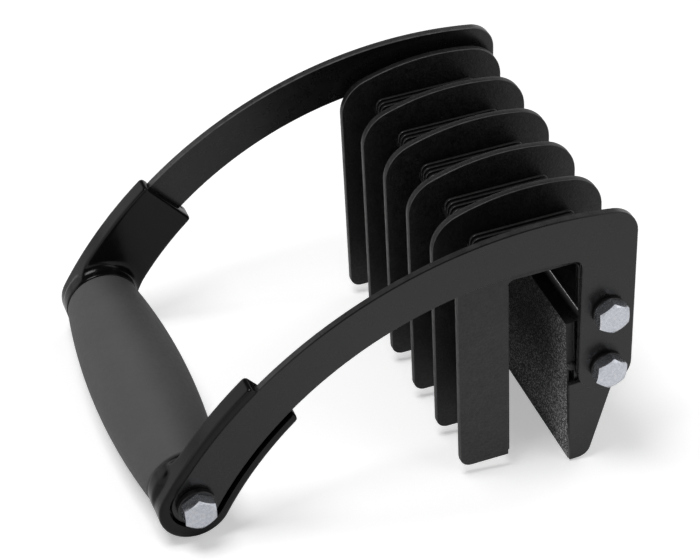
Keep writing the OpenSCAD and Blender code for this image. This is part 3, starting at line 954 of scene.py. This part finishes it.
def swing_pad():
    """The facing, with a pocket behind a thin skin in each end."""
    back = JAW_PAD_T - JAW_FACE
    lo = (PAD_SKIN - JAW_FACE, EAR_INNER - PAD_POCKET, -EAR_NOTCH)
    hi = (back + OVERCUT, EAR_INNER + OVERCUT, -BUMPER_DOWN - BUMPER_R)
    pocket = block(lo, hi, FINE_EDGE)
    return cut(jaw_layer(-JAW_FACE, back, JAW_PAD_EDGE), both_sides(pocket))


def bumper():
    """A small button with a rounded rim, on the far end of the pad."""
    top = EAR_INNER + BUMPER_H
    profile = [(HAIR, EAR_INNER), (BUMPER_R, EAR_INNER)]
    profile += arc((BUMPER_R - BUMPER_EDGE, top - BUMPER_EDGE), BUMPER_EDGE, 0, 90, 5)
    profile += [(HAIR, top)]
    return lathe(profile, (BUMPER_BACK - JAW_FACE, -BUMPER_DOWN), 32)


plate_front = JAW_PAD_T - JAW_FACE
piece("swing_pad_look", at_jaw(swing_pad()), "swing_jaw", ["swing_jaw_pad"], PAD)
mesh = at_jaw(jaw_layer(plate_front, plate_front + JAW_PLATE_T, JAW_PLATE_EDGE))
piece("swing_plate_look", mesh, "swing_jaw", ["swing_jaw_plate"], SATIN)
ear_loops = [ear_outline(), circle((0, 0), BOLT_R + BORE_CLEAR)]
far_ear = at_jaw(plate(ear_loops, EAR_INNER, EAR_OUTER, EAR_EDGE))
near_ear = mirrored(far_ear)
piece("far_ear_look", far_ear, "swing_jaw", ["far_jaw_ear"], SATIN)
piece("near_ear_look", near_ear, "swing_jaw", ["near_jaw_ear"], SATIN)
mesh = both_sides(at_jaw(bumper()))
piece("bumpers_look", mesh, "swing_jaw", ["jaw_bumpers"], PAD, sharp=50)

# Stage, in metres
FLOOR_HALF = 6.0
WHITE = (1, 1, 1, 1)


def floor_look():
    """A pale floor that keeps the shadow and is whiter far off. Gloss sees painted shade on it, dark
    under the ribs.
    """
    f = material("floor")
    f.colour(f.tones(f.noise(3, 2), 0.93, 0.95))
    f.set(Roughness=0.9, Specular_IOR_Level=0.1, Emission_Color=WHITE)
    x = f.axis(f.coords, "X")
    y = f.math("ABSOLUTE", f.axis(f.coords, "Y"))
    # Painted shadow and shade for gloss: dark under the ribs, where their shadow falls, and dimmer
    # toward the front.
    under_ribs = f.math("MULTIPLY", f.fade(x, -0.01, 0.015), f.fade(y, 0.05, 0.085, 1.0, 0.0))
    clear = f.math("SUBTRACT", 1.0, under_ribs)
    in_gloss = f.math("MULTIPLY", clear, f.fade(x, -0.09, 0.04, 0.05, 0.22))
    far_off = f.fade(f.length(f.coords), 0.35, 1.5, 0.4, 0.85)
    seen = f.math("MULTIPLY", f.ray("Camera"), far_off)
    mirrored_floor = f.math("MULTIPLY", f.ray("Glossy"), in_gloss)
    f.feed(f.shader.inputs["Emission Strength"], f.math("ADD", seen, mirrored_floor))
    return f.owner


def studio():
    """A dim world, white to the camera. Gloss sees a backdrop that is bright low down and dark above."""
    w = Nodes(bpy.data.worlds.new("studio"), "BACKGROUND")
    w.set(Color=WHITE)
    backdrop = w.fade(w.axis(w.direction, "Z"), 0.3, 0.52, 1.0, 0.06)
    light = w.mix(w.ray("Glossy"), 0.2, backdrop, "FLOAT")
    w.feed(w.shader.inputs["Strength"], w.math("MAXIMUM", light, w.ray("Camera")))
    return w.owner


def area(name, at, aim, size, power):
    """A soft lamp at one point, turned to another."""
    data = bpy.data.lights.new(name, "AREA")
    data.shape = "RECTANGLE"
    data.size, data.size_y = size
    data.energy = power
    light = bpy.data.objects.new(name, data)
    light.location = at
    light.rotation_mode = "QUATERNION"
    light.rotation_quaternion = (Vector(aim) - Vector(at)).to_track_quat("-Z", "Y")
    scene.collection.objects.link(light)


corners = [(-FLOOR_HALF, -FLOOR_HALF, 0), (FLOOR_HALF, -FLOOR_HALF, 0)]
corners += [(FLOOR_HALF, FLOOR_HALF, 0), (-FLOOR_HALF, FLOOR_HALF, 0)]
floor_mesh = bpy.data.meshes.new("floor")
floor_mesh.from_pydata(corners, [], [(0, 1, 2, 3)])
floor_mesh.materials.append(floor_look())
floor = bpy.data.objects.new("floor", floor_mesh)
scene.collection.objects.link(floor)
scene.world = studio()
area("key", at=(-0.45, -0.1, 1.35), aim=(0, 0, 0.05), size=(0.6, 0.6), power=10.5)
area("fill", at=(0.9, -0.9, 0.8), aim=(0, 0, 0.05), size=(0.8, 0.8), power=2.4)
area("back", at=(1.3, 0.6, 1.2), aim=(0, 0, 0.08), size=(1.0, 0.6), power=4)

# Camera fitted to the photograph: its place in the ribs' frame, and its angles in degrees
CAMERA_AT = (-271.5, -754.3, 691.9)
CAMERA_HEADING = 71.6975
CAMERA_DOWN = 38.5465
CAMERA_ROLL = -3.284
SENSOR = 36.0
LENS = 122.85

eye = (
    Matrix.Translation(CAMERA_AT)
    @ Matrix.Rotation(math.radians(CAMERA_HEADING - 90), 4, "Z")
    @ Matrix.Rotation(math.radians(90 - CAMERA_DOWN), 4, "X")
    @ Matrix.Rotation(math.radians(CAMERA_ROLL), 4, "Z")
)
placed = ROW @ eye
cam_data = bpy.data.cameras.new("camera")
cam_data.sensor_fit = "HORIZONTAL"
cam_data.sensor_width = SENSOR
cam_data.lens = LENS
cam_data.clip_start = 0.01
cam_data.clip_end = 50
cam = bpy.data.objects.new("camera", cam_data)
scene.collection.objects.link(cam)
cam.matrix_world = Matrix.LocRotScale(placed.translation, placed.to_quaternion(), None)
scene.camera = cam
scene.view_settings.view_transform = "Standard"
